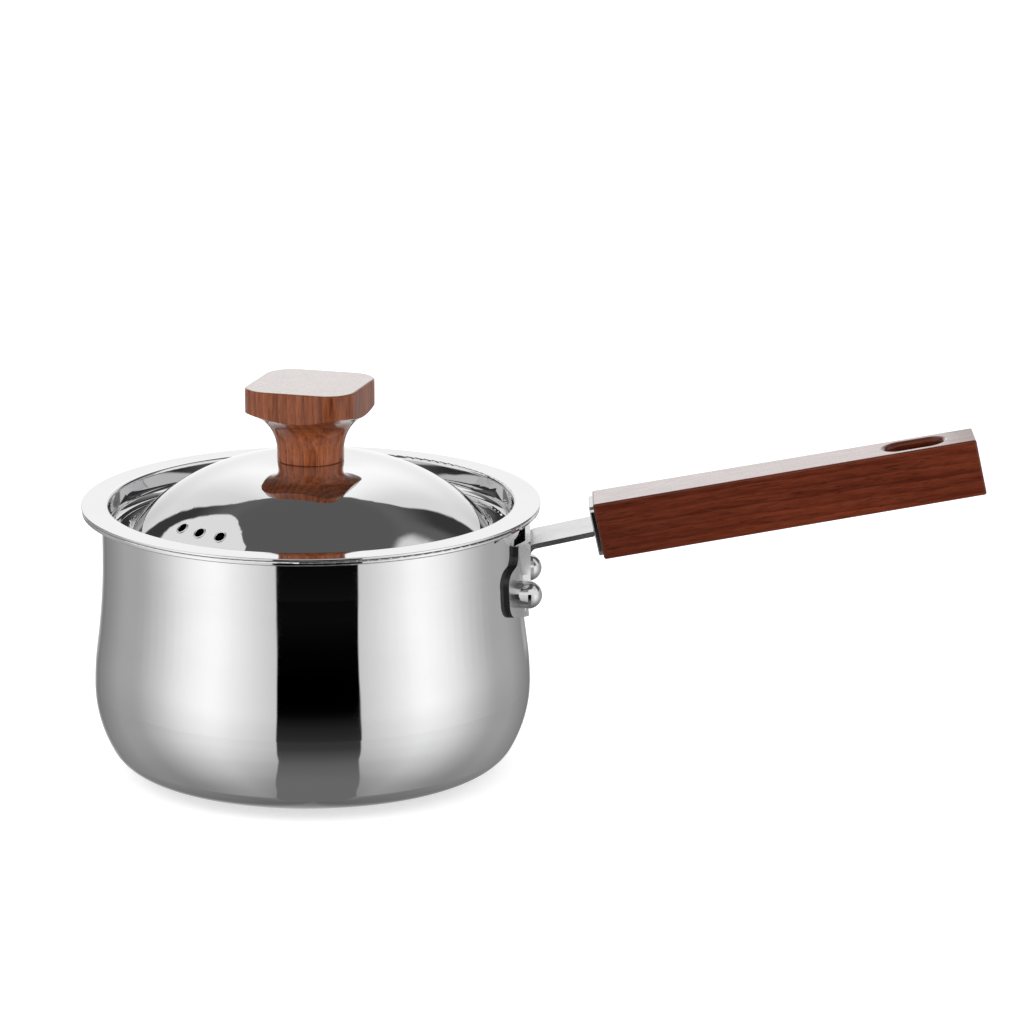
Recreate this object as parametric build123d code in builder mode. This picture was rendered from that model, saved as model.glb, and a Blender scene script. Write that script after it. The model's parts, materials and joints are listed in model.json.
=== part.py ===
from build123d import *
import math
import os

# Milk pan with a lift-off lid, a riveted bracket and a wooden handle.
# Millimetres. The origin is the middle of the base, +Z is up, the handle points along +X.

# Pan body, sizes measured outside the wall: the neck sets the radii of belly, flange and lid
pot_height = 102.2
pot_wall = 1.0
neck_radius = 80.4
neck_length = 17.2
belly_swell = 3.8
underside_arc_radius = 69.0
underside_arc_angle = 7.3
heel_arc_radius = 14.8
heel_arc_angle = 53.2
side_arc_radius = 48.4
neck_bend_share = 0.30
rim_width = 7.6
rim_thickness = 1.8
rim_edge_round = 0.6
rim_root_round = 1.2
mouth_round = 1.6

# Base disc: an aluminium core closed by a thin cup
cap_margin = 3.16
cap_sheet = 0.5
core_thickness = 2.1
cap_corner_round = 0.45
cap_clearance = 0.05

# Lid, heights above the plane where it rests on the rim
lid_overhang = 0.3
lid_sheet = 1.0
lid_seat_gap = 0.1
lid_mouth_clearance = 0.7
lid_edge_round = 0.35
lid_flange_round = 1.4
gutter_depth = 9.4
gutter_outer_round = 3.4
gutter_inner_round = 3.0
gutter_width = 7.7
dome_height = 17.5
dome_turn_radius = 33.0
dome_turn_drop = 2.8
dome_foot_slope = 49.0
crown_shares = (0.25, 0.5, 0.75)
knob_seat_margin = 1.6
vent_diameter = 3.8
vent_count = 3
vent_spacing_angle = 9.5
vent_middle_angle = -131.6
vent_place_share = 0.79

# Knob: a square block above a turned neck
knob_height = 30.0
knob_side = 43.8
knob_corner_round = 11.0
knob_turn_angle = -16.5
knob_neck_radius = 12.9
knob_cove_radius = 16.0
knob_skirt_height = 14.0
knob_skirt_slope = 26.0
knob_edge_round = 0.9
knob_foot_round = 0.5

# Fastener of the knob
screw_diameter = 5.0
screw_head_diameter = 9.5
screw_head_height = 3.0
screw_head_round = 1.2
screw_reach = 9.0
drive_size = 3.0
drive_depth = 1.8
screw_clearance = 0.3
washer_diameter = 15.0
washer_thickness = 1.0
insert_diameter = 8.5
insert_length = 12.0
insert_clearance = 0.1
insert_recess = 0.4

# Strap, leg and saddle, heights below the rim plane
strap_sheet = 2.0
strap_width = 24.4
strap_rise = 12.2
strap_bend_radius = 3.0
leg_stand = 3.9
leg_drop = 34.0
leg_side_depth = 4.0
leg_foot_half_width = 14.6
leg_flare_drop = 25.0
leg_flare_half_width = 37.0
saddle_top_drop = 12.0
saddle_neck_half_width = 21.0
saddle_shoulder_drop = 18.6
saddle_half_width = 32.0
ear_top_drop = 20.6
ear_bottom_drop = 37.0
saddle_bottom_drop = 45.0
saddle_flare_round = 4.0
saddle_ear_round = 5.5
saddle_foot_round = 20.0

# Rivets
rivet_place_y = 19.0
rivet_drop = 31.0
rivet_head_diameter = 10.6
rivet_shoulder = 4.6
rivet_dome = 4.2
rivet_shank_diameter = 5.0
rivet_hole_clearance = 0.1
rivet_inner_diameter = 11.0
rivet_inner_height = 1.6
rivet_inner_round = 1.0

# Handle: the grip starts this far from the leg's face, at this height above the rim plane
strap_reach = 26.0
grip_start_rise = -8.8
grip_length = 148.4
grip_rise = 9.85
grip_near_width = 22.8
grip_far_width = 20.8
grip_near_height = 22.2
grip_far_height = 22.0
grip_edge_round = 0.9
slot_length = 22.0
slot_width = 11.6
slot_lip_round = 1.9
slot_end_distance = 23.8

# Collar and tang
collar_thickness = 1.7
collar_inset = 1.2
collar_corner_round = 2.5
collar_edge_round = 0.4
tang_width = 14.0
tang_length = 52.0
tang_tip_round = 4.0
tang_clearance = 0.2

# Screws through grip and tang, set from below
grip_screw_diameter = 3.6
grip_screw_head = 7.0
grip_screw_cone = 90.0
grip_screw_past_tang = 4.0
grip_screw_clearance = 0.15
grip_screw_near = 16.0
grip_screw_far = 40.0
grip_drive_size = 2.2
grip_drive_depth = 1.1

# One overrun for every cut, and how nearly two directions must agree to count as the same
overrun = 5.0
same_way_share = 0.9

# Worked out from the sizes above
underside_z = cap_sheet + core_thickness
rim_z = underside_z + pot_height
belly_radius = neck_radius + belly_swell
neck_height = pot_height - neck_length
rim_radius = neck_radius + rim_width
mouth_radius = neck_radius - pot_wall
lid_radius = rim_radius + lid_overhang
lid_wall_radius = mouth_radius - lid_mouth_clearance
lid_top_z = rim_z + dome_height
leg_face_x = neck_radius + leg_stand
side_arc_angle = 90 - underside_arc_angle - heel_arc_angle
rivet_z = rim_z - rivet_drop
grip_direction = Vector(1, 0, 0).rotate(Axis.Y, -grip_rise)
strap_direction = Vector(1, 0, 0).rotate(Axis.Y, -strap_rise)
grip_start = Vector(leg_face_x + strap_reach, 0, rim_z + grip_start_rise)
grip_end = grip_start + grip_direction * grip_length
collar_start = grip_start - strap_direction * collar_thickness
strap_normal = Vector(0, 0, 1).rotate(Axis.Y, -strap_rise)
grip_normal = Vector(0, 0, 1).rotate(Axis.Y, -grip_rise)

os.makedirs("parts", exist_ok=True)


def save(piece, name):
    piece.label = name
    export_step(piece, f"parts/{name}.step")


def heel_reach(low_radius, heel_radius, high_radius):
    """How far out the three arcs of the lower wall carry it, and how far up."""
    first = math.radians(underside_arc_angle)
    second = math.radians(underside_arc_angle + heel_arc_angle)
    out = low_radius * math.sin(first) + heel_radius * (math.sin(second) - math.sin(first))
    out += high_radius * (1 - math.sin(second))
    up = low_radius * (1 - math.cos(first)) + heel_radius * (math.cos(first) - math.cos(second))
    up += high_radius * math.cos(second)
    return out, up


belly_out, belly_height = heel_reach(underside_arc_radius, heel_arc_radius, side_arc_radius)
flat_radius = belly_radius - belly_out
cap_radius = flat_radius - cap_margin


def wall_curve(grow, top_z):
    """The vessel's side from the flat underside to the neck, moved outward by grow."""
    low = JernArc((flat_radius, underside_z - grow), (1, 0), underside_arc_radius + grow, underside_arc_angle)
    heel = JernArc(low @ 1, low % 1, heel_arc_radius + grow, heel_arc_angle)
    side = JernArc(heel @ 1, heel % 1, side_arc_radius + grow, side_arc_angle)
    lean = 2 * math.atan((belly_radius - neck_radius) / (neck_height - belly_height))
    join_radius = belly_radius + (neck_radius - belly_radius) * neck_bend_share
    join_height = belly_height + (neck_height - belly_height) * neck_bend_share
    join = (join_radius + grow * math.cos(lean), underside_z + join_height + grow * math.sin(lean))
    neck_start = (neck_radius + grow, underside_z + neck_height)
    TangentArc(side @ 1, join, tangent=(0, 1))
    TangentArc(neck_start, join, tangent=(0, -1))
    Line(neck_start, (neck_radius + grow, top_z))
    return low @ 0


def filled_form(grow, top_z):
    """The vessel as a closed form without its flange, moved outward by grow."""
    with BuildPart() as form:
        with BuildSketch(Plane.XZ):
            with BuildLine():
                start = wall_curve(grow, top_z)
                Polyline(start, (0, start.Y), (0, top_z), (neck_radius + grow, top_z))
            make_face()
        revolve(axis=Axis.Z)
    return form.part


vessel_form = filled_form(0, rim_z)
cavity_form = filled_form(-pot_wall, rim_z + overrun)
saddle_form = filled_form(strap_sheet, rim_z)


def rivet_plane(side):
    """A plane on the pan's axis that faces out through one rivet; side is -1 or 1."""
    angle = math.degrees(math.asin(rivet_place_y / neck_radius)) * side
    return Plane((0, 0, rivet_z), z_dir=Vector(1, 0, 0).rotate(Axis.Z, angle))


def grip_plane(distance):
    """A plane along the grip, square to its height, at a distance from the collar."""
    return Plane(grip_start + grip_direction * distance, x_dir=grip_direction, z_dir=grip_normal)


def screw_plane(distance):
    """A plane on the underside of the grip, facing down."""
    height = grip_near_height + (grip_far_height - grip_near_height) * distance / grip_length
    under = grip_start + grip_direction * distance - grip_normal * (height / 2)
    return Plane(under, x_dir=grip_direction, z_dir=-grip_normal)


def is_along(edge, direction):
    """True for an edge that runs along a direction."""
    return abs((edge % 0).dot(direction)) > same_way_share


def corner(section, x, y):
    """The corner of a sketch that lies at x, y in the sketch's own plane."""
    return section.vertices().sort_by_distance((x, y))[0]


# Pan body
with BuildPart() as pot_body:
    with BuildSketch(Plane.XZ) as pot_section:
        with BuildLine():
            start = wall_curve(0, rim_z - rim_thickness)
            Polyline(
                (neck_radius, rim_z - rim_thickness),
                (rim_radius, rim_z - rim_thickness),
                (rim_radius, rim_z),
                (mouth_radius, rim_z),
                (mouth_radius, rim_z - rim_thickness),
            )
            inside = wall_curve(-pot_wall, rim_z - rim_thickness)
            Polyline(inside, (0, inside.Y), (0, start.Y), start)
        make_face()
        fillet(corner(pot_section, rim_radius, rim_z), rim_edge_round)
        fillet(corner(pot_section, rim_radius, rim_z - rim_thickness), rim_edge_round)
        fillet(corner(pot_section, neck_radius, rim_z - rim_thickness), rim_root_round)
        fillet(corner(pot_section, mouth_radius, rim_z), mouth_round)
    revolve(axis=Axis.Z)
    for side in (-1, 1):
        with BuildSketch(rivet_plane(side)):
            Circle(rivet_shank_diameter / 2 + rivet_hole_clearance)
        extrude(amount=rim_radius, mode=Mode.SUBTRACT)
save(pot_body.part, "pot_body")

# Base: the core fills the cup
with BuildPart() as base_core:
    with BuildSketch(Plane.XY.offset(cap_sheet)):
        Circle(cap_radius - cap_sheet - cap_clearance)
    extrude(amount=core_thickness)
save(base_core.part, "base_core")

with BuildPart() as base_cap:
    with BuildSketch(Plane.XY):
        Circle(cap_radius)
    extrude(amount=underside_z)
    with BuildSketch(Plane.XY.offset(cap_sheet)):
        Circle(cap_radius - cap_sheet)
    extrude(amount=core_thickness, mode=Mode.SUBTRACT)
    fillet(base_cap.edges().group_by(Axis.Z)[0], cap_corner_round)
save(base_cap.part, "base_cap")

# Lid shell
with BuildPart() as lid_shell:
    floor_z = rim_z - gutter_depth
    flange_z = rim_z + lid_seat_gap + lid_sheet
    inner_wall_radius = lid_wall_radius - lid_sheet
    dome_foot_radius = inner_wall_radius - gutter_width
    knob_seat_radius = knob_neck_radius + knob_seat_margin
    foot_fall = Vector(1, 0, 0).rotate(Axis.Z, -dome_foot_slope)
    under_foot_radius = dome_foot_radius - lid_sheet * math.tan(math.radians(dome_foot_slope / 2))
    with BuildSketch(Plane.XZ) as lid_section:
        with BuildLine():
            seat = Line((0, lid_top_z), (knob_seat_radius, lid_top_z))
            turn = (dome_turn_radius, lid_top_z - dome_turn_drop)
            crown = Spline(seat @ 1, turn, (dome_foot_radius, floor_z), tangents=[seat % 1, foot_fall])
            crown_under = Spline(
                (knob_seat_radius, lid_top_z - lid_sheet),
                *[crown @ share + (crown % share).rotate(Axis.Z, -90) * lid_sheet for share in crown_shares],
                (under_foot_radius, floor_z - lid_sheet),
                tangents=[seat % 1, foot_fall],
            )
            Polyline(
                crown @ 1,
                (inner_wall_radius, floor_z),
                (inner_wall_radius, flange_z),
                (lid_radius, flange_z),
                (lid_radius, flange_z - lid_sheet),
                (lid_wall_radius, flange_z - lid_sheet),
                (lid_wall_radius, floor_z - lid_sheet),
                crown_under @ 1,
            )
            Polyline(crown_under @ 0, (0, lid_top_z - lid_sheet), (0, lid_top_z))
        make_face()
        fillet(corner(lid_section, lid_radius, flange_z), lid_edge_round)
        fillet(corner(lid_section, lid_radius, flange_z - lid_sheet), lid_edge_round)
        fillet(corner(lid_section, dome_foot_radius, floor_z), gutter_inner_round)
        fillet(corner(lid_section, under_foot_radius, floor_z - lid_sheet), gutter_inner_round + lid_sheet)
        fillet(corner(lid_section, inner_wall_radius, floor_z), gutter_outer_round)
        fillet(corner(lid_section, lid_wall_radius, floor_z - lid_sheet), gutter_outer_round + lid_sheet)
        fillet(corner(lid_section, inner_wall_radius, flange_z), lid_flange_round)
        fillet(corner(lid_section, lid_wall_radius, flange_z - lid_sheet), lid_flange_round - lid_sheet)
    revolve(axis=Axis.Z)
    with BuildSketch(Plane.XY.offset(lid_top_z)):
        Circle(screw_diameter / 2 + screw_clearance)
    extrude(amount=lid_sheet + overrun, both=True, mode=Mode.SUBTRACT)
    vent_place = crown @ vent_place_share
    vent_fall = crown % vent_place_share
    for step in range(vent_count):
        vent_angle = vent_middle_angle + (step - (vent_count - 1) / 2) * vent_spacing_angle
        centre = Vector(vent_place.X, 0, vent_place.Y).rotate(Axis.Z, vent_angle)
        square_off = Vector(-vent_fall.Y, 0, vent_fall.X).rotate(Axis.Z, vent_angle)
        with BuildSketch(Plane(centre, z_dir=square_off)):
            Circle(vent_diameter / 2)
        extrude(amount=lid_sheet + overrun, both=True, mode=Mode.SUBTRACT)
save(lid_shell.part, "lid_shell")

# Knob
with BuildPart() as lid_knob:
    knob_plane = Plane((0, 0, lid_top_z)).rotated((0, 0, knob_turn_angle))
    with BuildSketch(knob_plane):
        RectangleRounded(knob_side, knob_side, knob_corner_round)
    extrude(amount=knob_height)
    top_edges = lid_knob.edges().group_by(Axis.Z)[-1]
    fillet(top_edges, knob_edge_round)
    skirt_radius = knob_side
    skirt_rise = (skirt_radius - knob_neck_radius) * math.tan(math.radians(knob_skirt_slope))
    skirt_start_z = lid_top_z + knob_skirt_height
    with BuildSketch(Plane.XZ) as turned_section:
        with BuildLine():
            Polyline(
                (0, lid_top_z),
                (knob_neck_radius, lid_top_z),
                (knob_neck_radius, skirt_start_z),
                (skirt_radius, skirt_start_z + skirt_rise),
                (skirt_radius, lid_top_z + knob_height + overrun),
                (0, lid_top_z + knob_height + overrun),
                close=True,
            )
        make_face()
        fillet(corner(turned_section, knob_neck_radius, skirt_start_z), knob_cove_radius)
        fillet(corner(turned_section, knob_neck_radius, lid_top_z), knob_foot_round)
    revolve(axis=Axis.Z, mode=Mode.INTERSECT)
    with BuildSketch(Plane.XY.offset(lid_top_z)):
        Circle(insert_diameter / 2 + insert_clearance)
    extrude(amount=insert_recess + insert_length, mode=Mode.SUBTRACT)
save(lid_knob.part, "lid_knob")

with BuildPart() as knob_insert:
    with BuildSketch(Plane.XY.offset(lid_top_z + insert_recess)):
        Circle(insert_diameter / 2)
        Circle(screw_diameter / 2 + insert_clearance, mode=Mode.SUBTRACT)
    extrude(amount=insert_length)
save(knob_insert.part, "knob_insert")

with BuildPart() as knob_washer:
    with BuildSketch(Plane.XY.offset(lid_top_z - lid_sheet)):
        Circle(washer_diameter / 2)
        Circle(screw_diameter / 2 + screw_clearance, mode=Mode.SUBTRACT)
    extrude(amount=-washer_thickness)
save(knob_washer.part, "knob_washer")

with BuildPart() as knob_screw:
    head_top_z = lid_top_z - lid_sheet - washer_thickness
    with BuildSketch(Plane.XY.offset(head_top_z)):
        Circle(screw_head_diameter / 2)
    extrude(amount=-screw_head_height)
    fillet(knob_screw.edges().group_by(Axis.Z)[0], screw_head_round)
    with BuildSketch(Plane.XY.offset(head_top_z)):
        Circle(screw_diameter / 2)
    extrude(amount=washer_thickness + lid_sheet + insert_recess + screw_reach)
    with BuildSketch(Plane.XY.offset(head_top_z - screw_head_height)):
        RegularPolygon(drive_size / 2, 6, major_radius=False)
    extrude(amount=drive_depth, mode=Mode.SUBTRACT)
save(knob_screw.part, "knob_screw")

# Bracket: strap, raised leg, saddle and tang in one stamping
with BuildPart() as handle_bracket:
    leg_foot_z = rim_z - leg_drop
    saddle_foot_z = rim_z - saddle_bottom_drop
    leg_half_width = strap_width / 2
    leg_root_x = mouth_radius - overrun
    leg_points = [
        (leg_root_x, -leg_foot_half_width),
        (leg_face_x - leg_side_depth, -leg_foot_half_width),
        (leg_face_x, -leg_half_width),
        (leg_face_x, leg_half_width),
        (leg_face_x - leg_side_depth, leg_foot_half_width),
        (leg_root_x, leg_foot_half_width),
    ]
    flare_wall_x = math.sqrt((neck_radius + strap_sheet) ** 2 - leg_flare_half_width**2)
    flare_points = [
        (flare_wall_x - overrun, -leg_flare_half_width),
        (flare_wall_x, -leg_flare_half_width),
        (leg_face_x, -leg_half_width),
        (leg_face_x, leg_half_width),
        (flare_wall_x, leg_flare_half_width),
        (flare_wall_x - overrun, leg_flare_half_width),
    ]
    flare_sections = ((leg_points, rim_z - leg_flare_drop), (flare_points, rim_z))
    with BuildSketch(Plane.XY.offset(saddle_foot_z)):
        Polygon(*leg_points, align=None)
    extrude(amount=rim_z - saddle_foot_z)
    for points, height in flare_sections:
        with BuildSketch(Plane.XY.offset(height)):
            Polygon(*points, align=None)
    loft(ruled=True)
    with BuildSketch(Plane.XZ):
        Polygon(
            (leg_face_x, leg_foot_z),
            (neck_radius, saddle_foot_z),
            (leg_face_x + overrun, saddle_foot_z),
            (leg_face_x + overrun, leg_foot_z),
            align=None,
        )
    extrude(amount=saddle_half_width, both=True, mode=Mode.SUBTRACT)
    add(saddle_form)
    with BuildSketch(Plane.XY.offset(leg_foot_z)):
        Polygon(*leg_points, align=None)
        offset(amount=-strap_sheet, kind=Kind.INTERSECTION)
    extrude(amount=rim_z - leg_foot_z, mode=Mode.SUBTRACT)
    for points, height in flare_sections:
        with BuildSketch(Plane.XY.offset(height)):
            Polygon(*points, align=None)
            offset(amount=-strap_sheet, kind=Kind.INTERSECTION)
    loft(ruled=True, mode=Mode.SUBTRACT)
    with BuildSketch(Plane.YZ) as saddle_outline:
        ear_corners = [
            (saddle_neck_half_width, rim_z - saddle_shoulder_drop),
            (saddle_half_width, rim_z - ear_top_drop),
            (saddle_half_width, rim_z - ear_bottom_drop),
        ]
        right_side = [(saddle_neck_half_width, rim_z + overrun), *ear_corners]
        left_side = [(-y, z) for y, z in reversed(right_side)]
        Polygon(*right_side, (0, saddle_foot_z), *left_side, align=None)
        for side in (-1, 1):
            for (y, z), radius in zip(ear_corners, (saddle_flare_round, saddle_ear_round, saddle_ear_round)):
                fillet(corner(saddle_outline, side * y, z), radius)
        fillet(corner(saddle_outline, 0, saddle_foot_z), saddle_foot_round)
    extrude(amount=rim_radius + overrun, mode=Mode.INTERSECT)
    add(vessel_form, mode=Mode.SUBTRACT)
    split(bisect_by=Plane.XY.offset(rim_z - saddle_top_drop), keep=Keep.BOTTOM)
    for side in (-1, 1):
        with BuildSketch(rivet_plane(side)):
            Circle(rivet_shank_diameter / 2 + rivet_hole_clearance)
        extrude(amount=rim_radius, mode=Mode.SUBTRACT)
    strap_end = collar_start - strap_normal * (strap_sheet / 2)
    strap_corner_z = strap_end.Z - (strap_end.X - leg_face_x) * math.tan(math.radians(strap_rise))
    with BuildSketch(Plane.XZ):
        with BuildLine():
            FilletPolyline(
                (leg_face_x, leg_foot_z),
                (leg_face_x, strap_corner_z),
                (strap_end.X, strap_end.Z),
                radius=strap_bend_radius,
            )
            offset(amount=strap_sheet, side=Side.LEFT)
        make_face()
    extrude(amount=strap_width / 2, both=True)
    tang_root = strap_end - strap_direction * strap_sheet
    tang_bend = grip_start - strap_normal * (strap_sheet / 2)
    tang_tip = tang_bend + grip_direction * tang_length
    with BuildSketch(Plane.XZ):
        with BuildLine():
            Polyline((tang_root.X, tang_root.Z), (tang_bend.X, tang_bend.Z), (tang_tip.X, tang_tip.Z))
            offset(amount=strap_sheet, side=Side.LEFT)
        make_face()
    extrude(amount=tang_width / 2, both=True)
    tip_edges = handle_bracket.edges().filter_by(Axis.Y, reverse=True).group_by(Axis.X)[-1]
    fillet(tip_edges, tang_tip_round)
    for distance in (grip_screw_near, grip_screw_far):
        with BuildSketch(grip_plane(distance)):
            Circle(grip_screw_diameter / 2 + grip_screw_clearance)
        extrude(amount=strap_sheet * 2, both=True, mode=Mode.SUBTRACT)
save(handle_bracket.part, "handle_bracket")

# Rivets: both heads are upset against the curved sheets
for side, name in ((-1, "bracket_rivet_front"), (1, "bracket_rivet_rear")):
    outward = rivet_plane(side).z_dir
    lengthwise = Plane((0, 0, rivet_z), x_dir=outward, z_dir=outward.cross(Vector(0, 0, 1)))
    shoulder_end = neck_radius + strap_sheet + rivet_shoulder
    with BuildPart() as tail:
        with BuildSketch(rivet_plane(side).offset(mouth_radius - rivet_inner_height)):
            Circle(rivet_inner_diameter / 2)
        extrude(amount=rivet_inner_height + overrun)
        fillet(tail.edges().sort_by(Axis(origin=(0, 0, 0), direction=outward))[0], rivet_inner_round)
        add(cavity_form, mode=Mode.INTERSECT)
    with BuildPart() as rivet:
        with BuildSketch(lengthwise):
            with BuildLine():
                dome = TangentArc(
                    (shoulder_end + rivet_dome, 0),
                    (shoulder_end, rivet_head_diameter / 2),
                    tangent=(0, 1),
                )
                Polyline(dome @ 1, (mouth_radius, rivet_head_diameter / 2), (mouth_radius, 0), dome @ 0)
            make_face()
        revolve(axis=Axis(origin=(0, 0, rivet_z), direction=outward))
        add(saddle_form, mode=Mode.SUBTRACT)
        with BuildSketch(rivet_plane(side).offset(mouth_radius - rivet_inner_round)):
            Circle(rivet_shank_diameter / 2)
        extrude(amount=pot_wall + strap_sheet + rivet_shoulder)
        add(tail.part)
    save(rivet.part, name)

# Collar between strap and grip
collar_plane = Plane(collar_start, x_dir=(0, 1, 0), z_dir=strap_direction)
with BuildPart() as handle_collar:
    with BuildSketch(collar_plane):
        RectangleRounded(
            grip_near_width - 2 * collar_inset,
            grip_near_height - 2 * collar_inset,
            collar_corner_round,
        )
    extrude(amount=collar_thickness)
    along_strap = Axis(origin=(0, 0, 0), direction=strap_direction)
    fillet(handle_collar.edges().group_by(along_strap)[0], collar_edge_round)
    with BuildSketch(collar_plane):
        Rectangle(tang_width + 2 * tang_clearance, strap_sheet + 2 * tang_clearance)
    extrude(amount=collar_thickness, mode=Mode.SUBTRACT)
save(handle_collar.part, "handle_collar")

# Grip
with BuildPart() as handle_grip:
    with BuildSketch(Plane(grip_start, x_dir=(0, 1, 0), z_dir=strap_direction)):
        Rectangle(grip_near_width, grip_near_height)
    with BuildSketch(Plane(grip_end, x_dir=(0, 1, 0), z_dir=strap_direction)):
        Rectangle(grip_far_width, grip_far_height)
    loft()
    fillet(handle_grip.edges(), grip_edge_round)
    with BuildSketch(grip_plane(grip_length - slot_end_distance)):
        SlotOverall(slot_length, slot_width)
    extrude(amount=grip_near_height, both=True, mode=Mode.SUBTRACT)
    lip_edges = handle_grip.edges(Select.LAST).filter_by(lambda edge: not is_along(edge, grip_normal))
    fillet(lip_edges, slot_lip_round)
    with BuildSketch(Plane(grip_start, x_dir=(0, 1, 0), z_dir=grip_direction)):
        Rectangle(tang_width + 2 * tang_clearance, strap_sheet + 2 * tang_clearance)
    extrude(amount=tang_length + tang_clearance, both=True, mode=Mode.SUBTRACT)
    for distance in (grip_screw_near, grip_screw_far):
        with Locations(screw_plane(distance)):
            CounterSinkHole(
                radius=grip_screw_diameter / 2 + grip_screw_clearance,
                counter_sink_radius=grip_screw_head / 2 + grip_screw_clearance,
                depth=grip_near_height / 2 + grip_screw_past_tang + grip_screw_clearance,
                counter_sink_angle=grip_screw_cone,
            )
save(handle_grip.part, "handle_grip")

# Countersunk screws from below, through the grip and the tang
for distance, name in ((grip_screw_near, "handle_screw_near"), (grip_screw_far, "handle_screw_far")):
    with BuildPart() as grip_screw:
        upward = Plane(screw_plane(distance).origin, x_dir=grip_direction, z_dir=grip_normal)
        with BuildSketch(upward):
            Circle(grip_screw_head / 2)
        head_step = (grip_screw_head - grip_screw_diameter) / 2
        extrude(amount=head_step / math.tan(math.radians(grip_screw_cone / 2)), taper=grip_screw_cone / 2)
        with BuildSketch(upward):
            Circle(grip_screw_diameter / 2)
        extrude(amount=grip_near_height / 2 + grip_screw_past_tang)
        with BuildSketch(upward):
            RegularPolygon(grip_drive_size / 2, 6, major_radius=False)
        extrude(amount=grip_drive_depth, mode=Mode.SUBTRACT)
    save(grip_screw.part, name)
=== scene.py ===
import json
import math
from collections import namedtuple

import bpy
from bpy.props import FloatProperty, FloatVectorProperty, IntProperty, PointerProperty
from bpy.types import NodeSocket, Operator, Panel, PropertyGroup
from mathutils import Matrix, Vector

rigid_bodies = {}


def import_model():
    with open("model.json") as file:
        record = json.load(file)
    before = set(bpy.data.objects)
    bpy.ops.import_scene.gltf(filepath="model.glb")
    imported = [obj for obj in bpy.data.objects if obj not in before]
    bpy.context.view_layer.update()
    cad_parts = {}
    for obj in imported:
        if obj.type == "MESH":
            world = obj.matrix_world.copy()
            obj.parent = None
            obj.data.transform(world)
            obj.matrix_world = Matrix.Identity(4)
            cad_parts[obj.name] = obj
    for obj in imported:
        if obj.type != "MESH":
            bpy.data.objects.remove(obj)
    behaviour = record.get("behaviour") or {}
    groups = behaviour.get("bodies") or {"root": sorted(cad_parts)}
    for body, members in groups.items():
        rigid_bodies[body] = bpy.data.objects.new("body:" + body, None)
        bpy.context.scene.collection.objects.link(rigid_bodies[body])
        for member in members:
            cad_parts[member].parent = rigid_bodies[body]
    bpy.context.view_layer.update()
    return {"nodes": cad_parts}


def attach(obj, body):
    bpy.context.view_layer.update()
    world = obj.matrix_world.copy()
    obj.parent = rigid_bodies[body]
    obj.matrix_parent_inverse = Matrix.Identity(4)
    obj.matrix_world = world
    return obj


# Milk pan with a lift-off lid: finishes, small sheet-metal details and the studio.
# Metres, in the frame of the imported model. The handle points along +X, the camera looks along +Y.

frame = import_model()

bl_info = {
    "name": "Milk pan",
    "version": (1, 0, 0),
    "blender": (4, 5, 0),
    "location": "3D View > Sidebar > Milk pan",
    "description": "Finishes and dresses a milk pan with a wooden handle",
    "category": "Object",
}


# Sizes and colours

class MilkPanSteel(PropertyGroup):
    mirror_colour: FloatVectorProperty(
        name="Mirror colour",
        description="How much of each colour the polished steel throws back",
        subtype="COLOR", size=3, min=0, max=1, default=(0.68, 0.68, 0.685),
    )
    mirror_roughness: FloatProperty(
        name="Mirror roughness",
        description="Haze of the polished steel",
        subtype="FACTOR", min=0, max=1, default=0.035,
    )
    pressing_colour: FloatVectorProperty(
        name="Pressing colour",
        description="Colour of the bracket and the collar",
        subtype="COLOR", size=3, min=0, max=1, default=(0.57, 0.57, 0.575),
    )
    pressing_roughness: FloatProperty(
        name="Pressing roughness",
        description="Haze of the bracket and the collar, which are polished less than the pan",
        subtype="FACTOR", min=0, max=1, default=0.24,
    )
    satin_colour: FloatVectorProperty(
        name="Satin colour",
        description="Colour of the steel inside the pan and on the base",
        subtype="COLOR", size=3, min=0, max=1, default=(0.60, 0.60, 0.605),
    )
    satin_roughness: FloatProperty(
        name="Satin roughness",
        description="Haze of the satin steel inside the pan and on the base",
        subtype="FACTOR", min=0, max=1, default=0.24,
    )
    turning_pitch: FloatProperty(
        name="Turning pitch",
        description="Distance between two rings of the circular brushing",
        subtype="DISTANCE", unit="LENGTH", min=0.0001, default=0.0005,
    )


class MilkPanWood(PropertyGroup):
    handle_dark: FloatVectorProperty(
        name="Handle, late wood",
        description="Darker wood of the handle",
        subtype="COLOR", size=3, min=0, max=1, default=(0.049, 0.0055, 0.0015),
    )
    handle_light: FloatVectorProperty(
        name="Handle, early wood",
        description="Lighter wood of the handle",
        subtype="COLOR", size=3, min=0, max=1, default=(0.155, 0.029, 0.0095),
    )
    knob_dark: FloatVectorProperty(
        name="Knob, late wood",
        description="Darker wood of the knob",
        subtype="COLOR", size=3, min=0, max=1, default=(0.085, 0.014, 0.004),
    )
    knob_light: FloatVectorProperty(
        name="Knob, early wood",
        description="Lighter wood of the knob",
        subtype="COLOR", size=3, min=0, max=1, default=(0.400, 0.116, 0.040),
    )
    ring_spacing: FloatProperty(
        name="Ring spacing",
        description="Distance between two growth rings",
        subtype="DISTANCE", unit="LENGTH", min=0.0005, default=0.0034,
    )
    lacquer_roughness: FloatProperty(
        name="Lacquer roughness",
        description="Haze of the clear lacquer over the wood",
        subtype="FACTOR", min=0, max=1, default=0.10,
    )


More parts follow.
